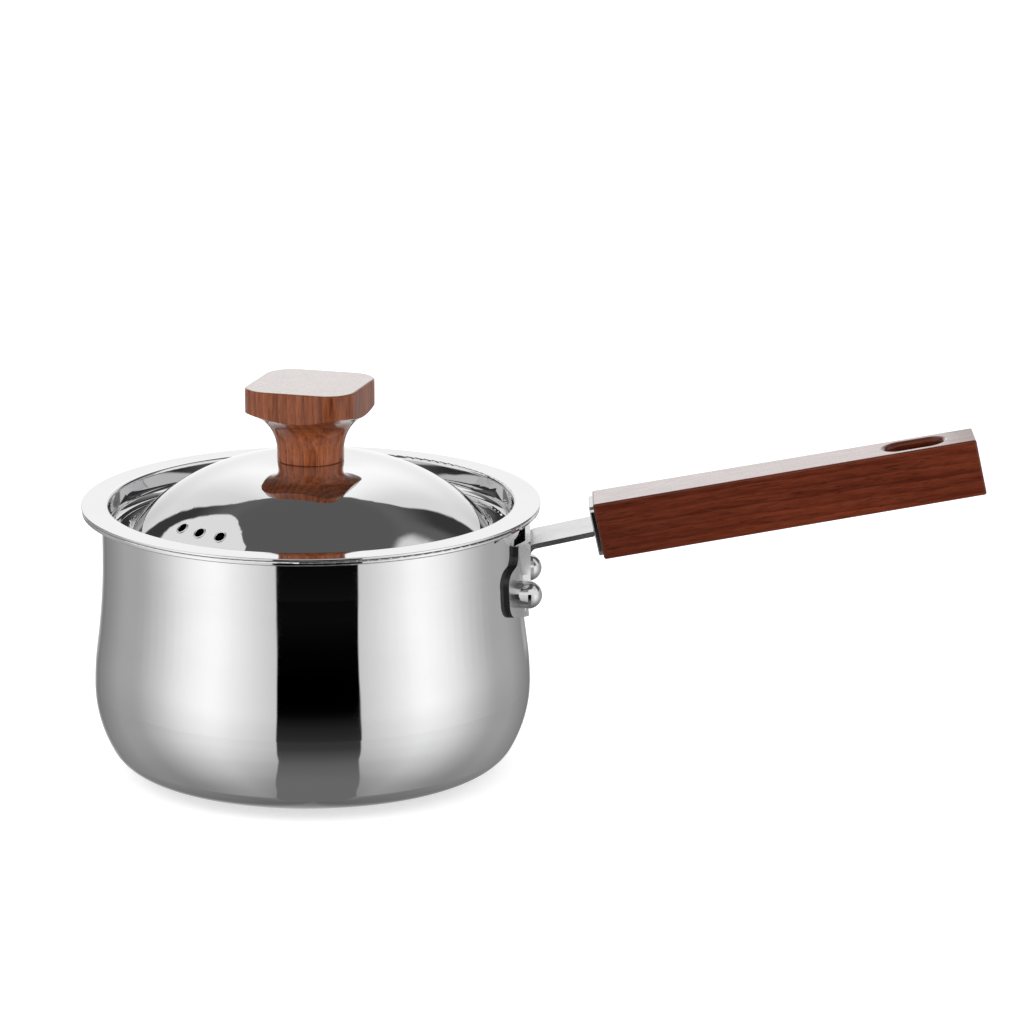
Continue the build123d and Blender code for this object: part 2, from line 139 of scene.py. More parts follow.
class MilkPanVents(PropertyGroup):
    distance_out: FloatProperty(
        name="Distance out",
        description="From the lid's middle to the middle of a steam hole",
        subtype="DISTANCE", unit="LENGTH", min=0.01, default=0.0605,
    )
    middle_angle: FloatProperty(
        name="Middle hole",
        description="Where the middle steam hole stands, from the handle's side, anticlockwise",
        subtype="ANGLE", unit="ROTATION", default=math.radians(-131.6),
    )
    spacing_angle: FloatProperty(
        name="Spacing",
        description="Angle from one steam hole to the next",
        subtype="ANGLE", unit="ROTATION", default=math.radians(9.5),
    )
    count: IntProperty(
        name="Holes",
        description="Number of steam holes",
        min=1, max=9, default=3,
    )
    hole_radius: FloatProperty(
        name="Hole radius",
        description="Radius of a steam hole",
        subtype="DISTANCE", unit="LENGTH", min=0.0005, default=0.0019,
    )
    rim_width: FloatProperty(
        name="Rim width",
        description="Width of the pressed rim round a steam hole",
        subtype="DISTANCE", unit="LENGTH", min=0.0001, default=0.0007,
    )
    rim_height: FloatProperty(
        name="Rim height",
        description="How thick the pressed rim is, half of it below the dome's surface",
        subtype="DISTANCE", unit="LENGTH", min=0.0001, default=0.0006,
    )


class MilkPanStudio(PropertyGroup):
    lens: FloatProperty(
        name="Lens",
        description="Focal length of the camera on a 36 mm sensor, in millimetres",
        min=10, max=500, default=175.78,
    )
    pitch: FloatProperty(
        name="Downward look",
        description="How far the camera looks down",
        subtype="ANGLE", unit="ROTATION", default=math.radians(14.42),
    )
    camera_place: FloatVectorProperty(
        name="Camera place",
        description="Where the camera stands",
        subtype="XYZ", unit="LENGTH", size=3, default=(0.077205, -1.86251, 0.58011),
    )
    floor_size: FloatProperty(
        name="Floor size",
        description="Side of the plain floor",
        subtype="DISTANCE", unit="LENGTH", min=1, default=14.0,
    )
    floor_colour: FloatVectorProperty(
        name="Floor colour",
        description="Colour of the plain floor",
        subtype="COLOR", size=3, min=0, max=1, default=(0.96, 0.96, 0.96),
    )
    soft_light: FloatProperty(
        name="Soft light",
        description="Strength of the even light that falls on the wood and the floor",
        min=0, max=5, default=0.80,
    )
    key_light: FloatProperty(
        name="Key light",
        description="Power of the large soft light above, in watts",
        min=0, max=500, default=7.0,
    )
    window_light: FloatProperty(
        name="Window light",
        description="Power of the soft light behind the pan that shines in the lacquer, in watts",
        min=0, max=500, default=1.4,
    )
    steel_exposure: FloatProperty(
        name="Steel exposure",
        description="Share of the cards' brightness that the polished steel throws back",
        min=0.1, max=1, default=0.68,
    )


# Patterns of the finishes: how often each repeats in a metre, along X, Y and Z.
# In wood, X is along the grain.

HAZE_PATCHES = (28, 28, 44)
BUFFING_MARKS = (900, 900, 5200)
SATIN_CLOUDS = (60, 60, 60)
CAST_GRAIN = (700, 700, 700)
FLOOR_PATCHES = (3, 3, 3)
WOOD_DRIFT = (9, 26, 26)
WOOD_FIBRES = (95, 1100, 1100)
WOOD_BANDS = (17, 150, 150)
WOOD_PORES = (190, 2600, 2600)
LACQUER_WAVES = (50, 260, 260)
# distance between two rings of a wave texture at scale 1
WAVE_PITCH = 0.314

# where most values of a noise lie
MIDDLE_SPAN = (0.3, 0.7)

# Steel and other metals. A blur share is a share of the finish's own roughness.

# hazy patches: spans of the noise, and the share of the colour left in them
HAZE_TINT_SPAN = (0.3, 0.8)
HAZE_TINT_SHARE = 0.97
HAZE_BLUR_SPAN = (0.35, 0.75)
HAZE_BLUR_SHARES = (0.7, 1.6)
SATIN_BLUR_SHARES = (0.85, 1.2)
CAST_BLUR_SHARES = (0.8, 1.3)
CAST_TINT_SHARE = 0.8
BUFFING_STRENGTH = 0.02
# how deep the buffing marks are
MIRROR_RIPPLE = 0.00001
FASTENER_RIPPLE = 0.00002
PRESSED_RIPPLE = 0.00003
PRESSED_METALLIC = 0.93
# fasteners are this many times as rough as the mirror
FASTENER_BLUR = 2
# the saddle's edge on both sides of the strap: near black as painted shade, and rougher
EDGE_SHADE_COLOUR = (0.05, 0.05, 0.05)
EDGE_SHADE_ROUGHNESS = 0.45
EDGE_SHADE_FACING = (0.45, 0.65)
STRAP_SIDE = (0.0195, 0.0205)
# the pan's inside: a face towards the axis, or below these heights one that looks up
INSIDE_FACING = (-0.010, -0.002)
FLOOR_HEIGHT = (0.030, 0.034)
FLOOR_FACING = (0.2, 0.5)
# shares of the satin's colour in its grooves
INSIDE_GROOVE_SHARE = 0.9
BASE_GROOVE_SHARE = 0.86
# strength and depth of the bump
INSIDE_BRUSHING = (0.2, 0.00003)
BASE_BRUSHING = (0.25, 0.00004)
CAST_BUMPS = (0.3, 0.00005)
CORE_ALUMINIUM = (0.74, 0.74, 0.75)
CORE_ROUGHNESS = 0.42
INSERT_BRASS = (0.72, 0.53, 0.25)
INSERT_ROUGHNESS = 0.30

# Wood: where the trunk's middle lies, and the painted light and shade along an axis

PaintedShading = namedtuple("PaintedShading", "axis start end first_share last_share")

HANDLE_TURN = (0, math.radians(9.85), 0)
HANDLE_PITH = (0.0, 0.031, -0.047)
# painted shade: the handle darker towards the pan and lighter towards its free end
HANDLE_PAINTED_SHADE = PaintedShading("X", 0.10, 0.20, 0.86, 1.06)
KNOB_TURN = (0, math.radians(90), 0)
KNOB_PITH = (0.0, 0.034, 0.026)
# painted light: the knob's neck lighter and its block darker, as the light falls on them
KNOB_PAINTED_LIGHT = PaintedShading("Z", 0.1325, 0.1385, 1.25, 0.88)
RING_SWAY = (0.0, 0.008, 0.008)
RING_SHARE, FIBRE_SHARE, BAND_SHARE = 0.34, 0.36, 0.30
FIBRE_SPAN = (0.32, 0.68)
BAND_SPAN = (0.30, 0.70)
PORE_SPAN = (0.60, 0.70)
PORE_DARKNESS = 0.35
PORE_COVER = 0.5
FIBRE_HEIGHT = 0.4
WOOD_ROUGHNESS = (0.30, 0.46)
WOOD_SHINE = 0.08
LACQUER_INDEX = 1.3
END_GRAIN_FACING = (0.90, 0.97)
END_GRAIN_SHARE = 0.45
# strength and depth of the bump
GRAIN_BUMPS = (0.35, 0.00008)
LACQUER_FLOW = (0.12, 0.0002)

# Steam hole rims

RIM_SECTION_CORNERS = 14
RIM_TURN_STEPS = 48
WELD_DISTANCE = 0.00001
# how far to each side of a hole the dome is felt, in hole radii
FEEL_BESIDE = 1.8

# Lights, floor and camera

LIGHTS_AIM = Vector((0.05, 0, 0.10))
KEY_PLACE = (-1.5, -0.9, 1.3)
FILL_PLACE = (1.6, -1.0, 1.0)
FILL_SHARE = 0.5
SOFT_BOX = (1.6, 1.6)
WINDOW_PLACE = (-0.22, 1.94, 0.61)
WINDOW_SIZE = (0.95, 0.42)
FLOOR_GLOW = 0.5
FLOOR_PATCH_SHARE = 0.995
SENSOR_WIDTH = 36
NEAREST_SEEN, FARTHEST_SEEN = 0.05, 50
# the sheet of painted table shade: how far below the floor it lies, and from the pan's axis the
# span of its greys
SHEET_DROP = 0.0005
CLEARNESS_SPAN = (0.08, 0.58)
CLEARNESS_GREYS = ((0.0, 0.72), (0.14, 0.755), (0.28, 0.86), (0.48, 0.95), (0.80, 1.0))
GLOW_SPAN = (0.08, 1.08)
GLOW_GREYS = (
    (0.0, 0.024), (0.065, 0.028), (0.105, 0.029), (0.155, 0.019), (0.22, 0.011), (0.33, 0.004),
    (0.47, 0.0012), (0.70, 0.0004), (1.0, 0.0),
)

# What the polished steel mirrors, by compass and height in degrees. Compass 0 is where the camera
# stands and grows towards the handle; height 0 is level and -90 straight down. A pair of degrees is
# where a change starts and where it ends. Greys go from 0, black, to 1, white.

HALF_TURN = 180
STRAIGHT_DOWN = -90
DEGREES = HALF_TURN / math.pi
# along the half turn from the flag, as shares of it
WALL_GREYS = (
    (0.13, 0.58), (0.26, 0.85), (0.345, 0.94), (0.47, 0.68), (0.58, 0.41),
    (0.72, 0.33), (0.86, 0.20), (0.92, 0.22), (0.99, 0.60),
)
# from straight down to level, as shares of that quarter turn
WALL_SHARES = ((0.0, 0.10), (0.20, 0.20), (0.42, 0.455), (0.59, 0.735), (0.72, 0.92), (0.83, 1.0))
TABLE_GREYS = ((0.0, 0.11), (0.42, 0.09), (0.72, 0.06), (0.82, 0.0))
FLAG_GREYS = ((0.20, 0.155), (0.42, 0.145), (0.59, 0.092), (0.72, 0.024), (0.79, 0.0))
UPPER_WALL_HEIGHT = (4, 12)
UPPER_WALL_GREY = 0.82
CEILING_HEIGHT = (51, 57)
CEILING_GREY = 0.09

ROOM_COMPASS = (104, 108)
ROOM_HEIGHT = (7, 11)
ROOM_STRIP_COMPASS = (108, 124)
ROOM_STRIP_GREYS = (0.26, 0.10)
ROOM_DEEP_COMPASS = (126, 136)
ROOM_DEEP_GREY = 0.035
ROOM_UPPER_HEIGHT = (36, 54)
ROOM_UPPER_GREY = 0.105
ROOM_CEILING_HEIGHT = (53, 60)

# A card hangs in a plane one metre from the pan, with its places there in metres.
Card = namedtuple("Card", "middle half_width low top corner softness")

BACK_WINDOW = Card(-0.02, 0.715, -0.25, 1.49, 0.36, 0.025)
# two places and the greys there, from the pan's middle outwards, and from the foot up
BACK_WINDOW_ACROSS = (0.10, 0.55, 0.92, 0.66)
BACK_WINDOW_UP = (0.10, 0.50, 0.80, 1.0)
# which way along X, the card, and its grey
HAND_CARDS = (
    (-1.0, Card(0.35, 0.68, 0.64, 2.12, 0.30, 0.03), 0.70),
    (1.0, Card(0.06, 0.46, 0.68, 1.62, 0.30, 0.12), 0.62),
)
# keeps a division by a direction's share away from zero
LEAST_SHARE = 0.02

FLAG_COMPASS = 5.2
FLAG_EDGE = 0.5
FLAG_TOP = (12, 16)
# two heights, and the flag's half widths there, then what its hip adds
FLAG_HALF_WIDTH = (-17, -6, 22.3, 21.6)
FLAG_HIP = (-19, -30, 0.0, 0.6)
# below these heights the flag widens by so many degrees: evenly, and with the square of the way
FLAG_SPREAD_FROM = -35
FLAG_SPREAD, FLAG_SPREAD_SQUARE = 11.0, 28.0
FLAG_FOOT_FROM = -65
FLAG_FOOT_SPREAD_SQUARE = 90.0


# Small tools for shader nodes

def join(tree, socket, value):
    """Sets a socket to a value, or links it to another node's output."""
    if isinstance(value, NodeSocket):
        tree.links.new(value, socket)
    else:
        socket.default_value = value


def fill(tree, node, **inputs):
    """Sets or links a node's inputs, which are named as on the node, with _ for a blank."""
    for name, value in inputs.items():
        join(tree, node.inputs[name.replace("_", " ")], value)


def place(tree, kind, settings=None, **inputs):
    """Adds one node with its settings and its inputs."""
    made = tree.nodes.new(kind)
    for name, value in (settings or {}).items():
        setattr(made, name, value)
    fill(tree, made, **inputs)
    return made


def reckon(tree, operation, first, second=0.0):
    """One sum on two numbers."""
    made = place(tree, "ShaderNodeMath", {"operation": operation})
    join(tree, made.inputs[0], first)
    join(tree, made.inputs[1], second)
    return made.outputs[0]


def add(tree, first, second):
    """Two numbers together."""
    return reckon(tree, "ADD", first, second)


def take(tree, first, second):
    """The first number less the second."""
    return reckon(tree, "SUBTRACT", first, second)


def times(tree, first, second):
    """Two numbers multiplied."""
    return reckon(tree, "MULTIPLY", first, second)


def unsigned(tree, value):
    """A number without its sign."""
    return reckon(tree, "ABSOLUTE", value)


def slant(tree, across, along):
    """The long side of a right-angled triangle."""
    return reckon(tree, "SQRT", add(tree, times(tree, across, across), times(tree, along, along)))


def between(tree, value, from_low, from_high, to_low=0.0, to_high=1.0, smooth=True):
    """Carries a value from one span to another and holds it at the ends."""
    made = place(
        tree, "ShaderNodeMapRange",
        {"interpolation_type": "SMOOTHSTEP" if smooth else "LINEAR"},
        Value=value, From_Min=from_low, From_Max=from_high, To_Min=to_low, To_Max=to_high,
    )
    return made.outputs["Result"]


def blend_numbers(tree, share, low, high):
    """A number between low and high."""
    made = place(tree, "ShaderNodeMix", {"data_type": "FLOAT"})
    join(tree, made.inputs[0], share)
    join(tree, made.inputs[2], low)
    join(tree, made.inputs[3], high)
    return made.outputs[0]


def blend_colours(tree, share, low, high):
    """A colour between low and high."""
    made = place(tree, "ShaderNodeMix", {"data_type": "RGBA"})
    join(tree, made.inputs[0], share)
    for socket, colour in ((made.inputs[6], low), (made.inputs[7], high)):
        join(tree, socket, colour if isinstance(colour, NodeSocket) else (*colour, 1))
    return made.outputs[2]


def dimmed(colour, share):
    """A colour with a share of its brightness."""
    return [channel * share for channel in colour]


def steps_of_grey(tree, value, stops):
    """A grey that follows a value through a few stops, each a place from 0 to 1 and its grey."""
    made = place(tree, "ShaderNodeValToRGB", Fac=value)
    ramp = made.color_ramp
    ramp.interpolation = "CARDINAL"
    while len(ramp.elements) < len(stops):
        ramp.elements.new(0.5)
    for element, (position, grey) in zip(ramp.elements, stops):
        element.position = position
        element.color = (grey, grey, grey, 1)
    return made.outputs["Color"]


def split(tree, vector):
    """The X, Y and Z of a vector."""
    return place(tree, "ShaderNodeSeparateXYZ", Vector=vector).outputs


def spot(tree, kind="Object"):
    """The X, Y and Z of a place on a piece, or of a direction in the world's shader."""
    return split(tree, place(tree, "ShaderNodeTexCoord").outputs[kind])


def facing(tree):
    """The direction that the surface faces."""
    return place(tree, "ShaderNodeNewGeometry").outputs["Normal"]


def mapped(tree, scale=(1, 1, 1), turn=(0, 0, 0), shift=(0, 0, 0)):
    """Object coordinates, turned, shifted and scaled for a pattern."""
    where = place(tree, "ShaderNodeTexCoord").outputs["Object"]
    turned = place(tree, "ShaderNodeMapping", Vector=where, Rotation=turn, Location=shift)
    return place(tree, "ShaderNodeMapping", Vector=turned.outputs[0], Scale=scale).outputs[0]


def speckle(tree, scale, turn=(0, 0, 0), detail=2.0, roughness=0.5, output="Fac"):
    """Soft noise between 0 and 1 that repeats scale times in a metre."""
    return place(
        tree, "ShaderNodeTexNoise",
        Vector=mapped(tree, scale, turn), Scale=1.0, Detail=detail, Roughness=roughness,
    ).outputs[output]


def relief(tree, height, strength, depth):
    """Bump from a height between 0 and 1 that stands for a depth in metres."""
    made = place(tree, "ShaderNodeBump", Height=height, Strength=strength, Distance=depth)
    return made.outputs[0]


def new_finish(name):
    """A fresh material, its node tree and its principled shader."""
    finish = bpy.data.materials.new(name)
    finish.use_nodes = True
    return finish, finish.node_tree, finish.node_tree.nodes["Principled BSDF"]


def dress(finish, *names):
    """Gives the named CAD nodes a finish."""
    for name in names:
        piece = frame["nodes"][name]
        if not piece.material_slots:
            piece.data.materials.append(finish)
        for slot in piece.material_slots:
            slot.material = finish


# Finishes

def uneven_blur(tree, noise, span, roughness, shares):
    """A roughness that follows a noise from one share of itself to another."""
    return between(tree, noise, *span, *(roughness * share for share in shares))


def mirror_look(tree, colour, roughness):
    """The colour and the roughness of polished sheet, with a faint haze in patches."""
    haze = speckle(tree, HAZE_PATCHES, detail=4.0, roughness=0.6)
    tint = blend_colours(
        tree, between(tree, haze, *HAZE_TINT_SPAN), colour, dimmed(colour, HAZE_TINT_SHARE),
    )
    return tint, uneven_blur(tree, haze, HAZE_BLUR_SPAN, roughness, HAZE_BLUR_SHARES)


def buffed(tree, ripple):
    """The last fine marks of the buffing wheel."""
    return relief(tree, speckle(tree, BUFFING_MARKS), BUFFING_STRENGTH, ripple)


def polished_steel(name, colour, roughness, ripple=MIRROR_RIPPLE):
    """Polished sheet: hazy in patches, with fine buffing marks."""
    finish, tree, skin = new_finish(name)
    tint, blur = mirror_look(tree, colour, roughness)
    fill(tree, skin, Base_Color=tint, Roughness=blur, Metallic=1.0, Normal=buffed(tree, ripple))
    return finish


def pressed_steel(name, settings):
    """Bracket sheet, hazier than the pan. The edge of its saddle beside the strap, which faces
    along the wall, is near black as painted shade, and rougher."""
    finish, tree, skin = new_finish(name)
    tint, blur = mirror_look(tree, settings.pressing_colour, settings.pressing_roughness)
    where = spot(tree)
    level = place(tree, "ShaderNodeCombineXYZ", X=where["X"], Y=where["Y"])
    outward = place(tree, "ShaderNodeVectorMath", {"operation": "NORMALIZE"})
    join(tree, outward.inputs[0], level.outputs[0])
    faced = place(tree, "ShaderNodeVectorMath", {"operation": "DOT_PRODUCT"})
    join(tree, faced.inputs[0], outward.outputs[0])
    join(tree, faced.inputs[1], facing(tree))
    along_wall = between(
        tree, unsigned(tree, faced.outputs["Value"]), *EDGE_SHADE_FACING, 1.0, 0.0,
    )
    beside_strap = between(tree, unsigned(tree, where["Y"]), *STRAP_SIDE)
    # painted shade: the saddle's edge beside the strap, near black
    painted_edge_shade = times(tree, along_wall, beside_strap)
    fill(
        tree, skin,
        Base_Color=blend_colours(tree, painted_edge_shade, tint, EDGE_SHADE_COLOUR),
        Roughness=blend_numbers(tree, painted_edge_shade, blur, EDGE_SHADE_ROUGHNESS),
        Metallic=PRESSED_METALLIC, Normal=buffed(tree, PRESSED_RIPPLE),
    )
    return finish


def turned_rings(tree, pitch):
    """The height of fine circular brushing round the pan's axis."""
    return place(
        tree, "ShaderNodeTexWave", {"wave_type": "RINGS", "rings_direction": "Z"},
        Vector=mapped(tree), Scale=WAVE_PITCH / pitch,
        Distortion=0.6, Detail=3.0, Detail_Scale=2.0,
    ).outputs["Fac"]


def satin_steel(name, settings):
    """Sheet brushed in circles."""
    finish, tree, skin = new_finish(name)
    colour, roughness = settings.satin_colour, settings.satin_roughness
    rings = turned_rings(tree, settings.turning_pitch)
    clouds = speckle(tree, SATIN_CLOUDS, detail=3.0)
    fill(
        tree, skin,
        Base_Color=blend_colours(tree, rings, colour, dimmed(colour, BASE_GROOVE_SHARE)),
        Roughness=uneven_blur(tree, clouds, MIDDLE_SPAN, roughness, SATIN_BLUR_SHARES),
        Metallic=1.0, Normal=relief(tree, rings, *BASE_BRUSHING),
    )
    return finish


def pan_steel(name, settings):
    """Mirror outside and satin inside: a face that looks at the axis, or up from the floor,
    is brushed in rings."""
    finish, tree, skin = new_finish(name)
    where, looks = spot(tree), split(tree, facing(tree))
    outward = add(tree, times(tree, where["X"], looks["X"]), times(tree, where["Y"], looks["Y"]))
    inside_wall = between(tree, outward, *INSIDE_FACING, 1.0, 0.0)
    low = between(tree, where["Z"], *FLOOR_HEIGHT, 1.0, 0.0)
    looks_up = between(tree, looks["Z"], *FLOOR_FACING)
    inside = reckon(tree, "MAXIMUM", inside_wall, times(tree, low, looks_up))

    rings = turned_rings(tree, settings.turning_pitch)
    tint, blur = mirror_look(tree, settings.mirror_colour, settings.mirror_roughness)
    satin = settings.satin_colour
    brushed = blend_colours(tree, rings, satin, dimmed(satin, INSIDE_GROOVE_SHARE))
    fill(
        tree, skin,
        Base_Color=blend_colours(tree, inside, tint, brushed),
        Roughness=blend_numbers(tree, inside, blur, settings.satin_roughness),
        Metallic=1.0, Normal=relief(tree, times(tree, rings, inside), *INSIDE_BRUSHING),
    )
    return finish


def plain_metal(name, colour, roughness):
    """Turned metal out of sight: cast grain and tool marks."""
    finish, tree, skin = new_finish(name)
    grain = speckle(tree, CAST_GRAIN, detail=4.0)
    fill(
        tree, skin,
        Base_Color=blend_colours(tree, grain, dimmed(colour, CAST_TINT_SHARE), colour),
        Roughness=uneven_blur(tree, grain, MIDDLE_SPAN, roughness, CAST_BLUR_SHARES),
        Metallic=1.0, Normal=relief(tree, grain, *CAST_BUMPS),
    )
    return finish


def growth_rings(tree, turn, pith, spacing):
    """Rings round the trunk's middle, bent a little along the grain."""
    drift = speckle(tree, WOOD_DRIFT, turn, output="Color")
    sway = place(tree, "ShaderNodeVectorMath", {"operation": "MULTIPLY_ADD"})
    for socket, value in zip(sway.inputs, (drift, RING_SWAY, mapped(tree, turn=turn, shift=pith))):
        join(tree, socket, value)
    return place(
        tree, "ShaderNodeTexWave",
        {"wave_type": "RINGS", "rings_direction": "X", "wave_profile": "SAW"},
        Vector=sway.outputs[0], Scale=WAVE_PITCH / spacing, Distortion=0.0,
    ).outputs["Fac"]


def end_grain(tree, turn):
    """A share of brightness: end grain soaks up more lacquer and turns darker."""
    turned = place(
        tree, "ShaderNodeMapping", {"vector_type": "NORMAL"}, Vector=facing(tree), Rotation=turn,
    )
    along = unsigned(tree, split(tree, turned.outputs[0])["X"])
    return between(tree, along, *END_GRAIN_FACING, 1.0, END_GRAIN_SHARE)


def lacquered_wood(name, settings, dark, light, turn, pith, painted_shading):
    """Wood sawn from one trunk, under clear lacquer. After turn the grain runs along X,
    and pith is the trunk's middle. Painted light and shade brighten and darken it along an axis."""
    finish, tree, skin = new_finish(name)
    rings = growth_rings(tree, turn, pith, settings.ring_spacing)
    fibres = speckle(tree, WOOD_FIBRES, turn, detail=4.0, roughness=0.65)
    bands = speckle(tree, WOOD_BANDS, turn, detail=3.0, roughness=0.6)
    pores = between(tree, speckle(tree, WOOD_PORES, turn, detail=1.0), *PORE_SPAN)
    streaks = add(
        tree,
        times(tree, between(tree, fibres, *FIBRE_SPAN), FIBRE_SHARE),
        times(tree, between(tree, bands, *BAND_SPAN), BAND_SHARE),
    )
    tone = add(tree, times(tree, rings, RING_SHARE), streaks)
    axis, *span = painted_shading
    # brightness: painted light and shade along an axis, times the darker end grain
    brightness = times(tree, between(tree, spot(tree)[axis], *span), end_grain(tree, turn))
    body = place(
        tree, "ShaderNodeVectorMath", {"operation": "SCALE"},
        Vector=blend_colours(tree, tone, dark, light), Scale=brightness,
    ).outputs[0]
    grain_height = take(tree, times(tree, fibres, FIBRE_HEIGHT), pores)
    waves = speckle(tree, LACQUER_WAVES, turn, detail=1.0)
    fill(
        tree, skin,
        Base_Color=blend_colours(
            tree, times(tree, pores, PORE_COVER), body, dimmed(dark, PORE_DARKNESS),
        ),
        Roughness=between(tree, fibres, *MIDDLE_SPAN, *WOOD_ROUGHNESS),
        Specular_IOR_Level=WOOD_SHINE,
        Normal=relief(tree, grain_height, *GRAIN_BUMPS),
        Coat_Weight=1.0, Coat_Roughness=settings.lacquer_roughness, Coat_IOR=LACQUER_INDEX,
        Coat_Normal=relief(tree, waves, *LACQUER_FLOW),
    )
    return finish


# Pieces made here

def let_go():
    """Nothing stays selected."""
    for piece in bpy.context.view_layer.objects:
        piece.select_set(False)
    bpy.context.view_layer.objects.active = None


def vent_rim(settings):
    """One pressed rim round a hole at the origin that faces up: a flat round section spun
    about the hole."""
    let_go()
    middle = settings.hole_radius + settings.rim_width / 2
    bpy.ops.mesh.primitive_circle_add(
        vertices=RIM_SECTION_CORNERS, radius=settings.rim_width / 2,
        location=(middle, 0, 0), rotation=(math.pi / 2, 0, 0),
    )
    rim = bpy.context.object
    bpy.ops.object.transform_apply(location=True, rotation=True, scale=True)
    bpy.ops.object.mode_set(mode="EDIT")
    bpy.ops.mesh.select_all(action="SELECT")
    bpy.ops.transform.resize(
        value=(1, 1, settings.rim_height / settings.rim_width), center_override=(middle, 0, 0),
    )
    bpy.ops.mesh.spin(steps=RIM_TURN_STEPS, angle=math.tau, center=(0, 0, 0), axis=(0, 0, 1))
    bpy.ops.mesh.select_all(action="SELECT")
    bpy.ops.mesh.remove_doubles(threshold=WELD_DISTANCE)
    bpy.ops.mesh.normals_make_consistent(inside=False)
    bpy.ops.object.mode_set(mode="OBJECT")
    bpy.ops.object.shade_smooth()
    return rim


def dome_at(distance, angle):
    """The point and the direction of the lid's upper side, at a distance and an angle in plan."""
    lid = frame["nodes"]["lid_shell"]
    above = Vector((distance * math.cos(angle), distance * math.sin(angle), 1))
    hit, point, normal, _ = lid.ray_cast(above, Vector((0, 0, -1)))
    if not hit:
        raise RuntimeError("the lid has no surface here")
    return point, normal


def seat_on_dome(settings, angle):
    """The turn and the shift that set a rim on the dome round the hole at an angle."""
    distance = settings.distance_out
    beside = settings.hole_radius * FEEL_BESIDE / distance
    points, normals = zip(*(dome_at(distance, turn) for turn in (angle - beside, angle + beside)))
    height = ((points[0] + points[1]) / 2).z
    out = Vector((math.cos(angle), math.sin(angle), 0))
    lean = (normals[0] + normals[1]).normalized().to_track_quat("Z", "Y")
    return Matrix.Translation(Vector((0, 0, height)) + out * distance) @ lean.to_matrix().to_4x4()


# Operators

class MILKPAN_OT_polish_steel(Operator):
    """Polish the pan, the lid, the bracket, the collar and the fasteners"""
    bl_idname = "milkpan.polish_steel"
    bl_label = "Polish the steel"

    def execute(self, context):
        settings = context.scene.milkpan_steel
        colour, roughness = settings.pressing_colour, settings.pressing_roughness
        mirror = settings.mirror_roughness
        dress(pan_steel("pan steel", settings), "pot_body")
        dress(polished_steel("lid steel", settings.mirror_colour, mirror), "lid_shell")
        dress(pressed_steel("bracket steel", settings), "handle_bracket")
        dress(polished_steel("collar steel", colour, roughness, PRESSED_RIPPLE), "handle_collar")
        dress(
            polished_steel("fastener steel", colour, mirror * FASTENER_BLUR, FASTENER_RIPPLE),
            "bracket_rivet_front", "bracket_rivet_rear", "knob_screw", "knob_washer",
            "handle_screw_near", "handle_screw_far",
        )
        return {"FINISHED"}


class MILKPAN_OT_finish_base(Operator):
    """Brush the base cap in rings and give the core and the threaded insert their metals"""
    bl_idname = "milkpan.finish_base"
    bl_label = "Finish the base and the insert"

    def execute(self, context):
        dress(satin_steel("base steel", context.scene.milkpan_steel), "base_cap")
        dress(plain_metal("core aluminium", CORE_ALUMINIUM, CORE_ROUGHNESS), "base_core")
        dress(plain_metal("insert brass", INSERT_BRASS, INSERT_ROUGHNESS), "knob_insert")
        return {"FINISHED"}


class MILKPAN_OT_lacquer_handle(Operator):
    """Give the handle its dark red-brown wood, with the grain along its length"""
    bl_idname = "milkpan.lacquer_handle"
    bl_label = "Lacquer the handle"

    def execute(self, context):
        settings = context.scene.milkpan_wood
        finish = lacquered_wood(
            "handle wood", settings, settings.handle_dark, settings.handle_light,
            HANDLE_TURN, HANDLE_PITH, HANDLE_PAINTED_SHADE,
        )
        dress(finish, "handle_grip")
        return {"FINISHED"}


class MILKPAN_OT_lacquer_knob(Operator):
    """Give the knob its orange-brown wood, with upright grain"""
    bl_idname = "milkpan.lacquer_knob"
    bl_label = "Lacquer the knob"

    def execute(self, context):
        settings = context.scene.milkpan_wood
        finish = lacquered_wood(
            "knob wood", settings, settings.knob_dark, settings.knob_light,
            KNOB_TURN, KNOB_PITH, KNOB_PAINTED_LIGHT,
        )
        dress(finish, "lid_knob")
        return {"FINISHED"}


class MILKPAN_OT_press_vent_rims(Operator):
    """Press a small rounded rim round each steam hole of the lid"""
    bl_idname = "milkpan.press_vent_rims"
    bl_label = "Press the steam hole rims"

    def execute(self, context):
        settings = context.scene.milkpan_vents
        steel = context.scene.milkpan_steel
        finish = polished_steel("vent rim steel", steel.mirror_colour, steel.mirror_roughness)
        pattern = vent_rim(settings)
        pattern.data.materials.append(finish)
        for step in range(settings.count):
            from_middle = step - (settings.count - 1) / 2
            angle = settings.middle_angle + from_middle * settings.spacing_angle
            piece = pattern.copy()
            piece.data = pattern.data.copy()
            piece.name = f"vent_rim_{step + 1}"
            piece.data.transform(seat_on_dome(settings, angle))
            context.scene.collection.objects.link(piece)
            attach(piece, "lid")
        bpy.data.objects.remove(pattern)
        return {"FINISHED"}


class MILKPAN_OT_set_stage(Operator):
    """Lay the pale floor, set the soft lights and their cards, and stand the camera"""
    bl_idname = "milkpan.set_stage"
    bl_label = "Set the stage"

    def execute(self, context):
        settings = context.scene.milkpan_studio
        lay_floor(settings)
        paint_table_shade(settings)
        hang_lights(settings)
        paint_surroundings(context.scene, settings)
        stand_camera(context.scene, settings)
        context.scene.view_settings.view_transform = "Standard"
        return {"FINISHED"}


# The stage

def lay_square(name, size, height):
    """A level square under the object."""
    let_go()
    bpy.ops.mesh.primitive_plane_add(size=size, location=(0, 0, height))
    made = bpy.context.object
    made.name = name
    return made


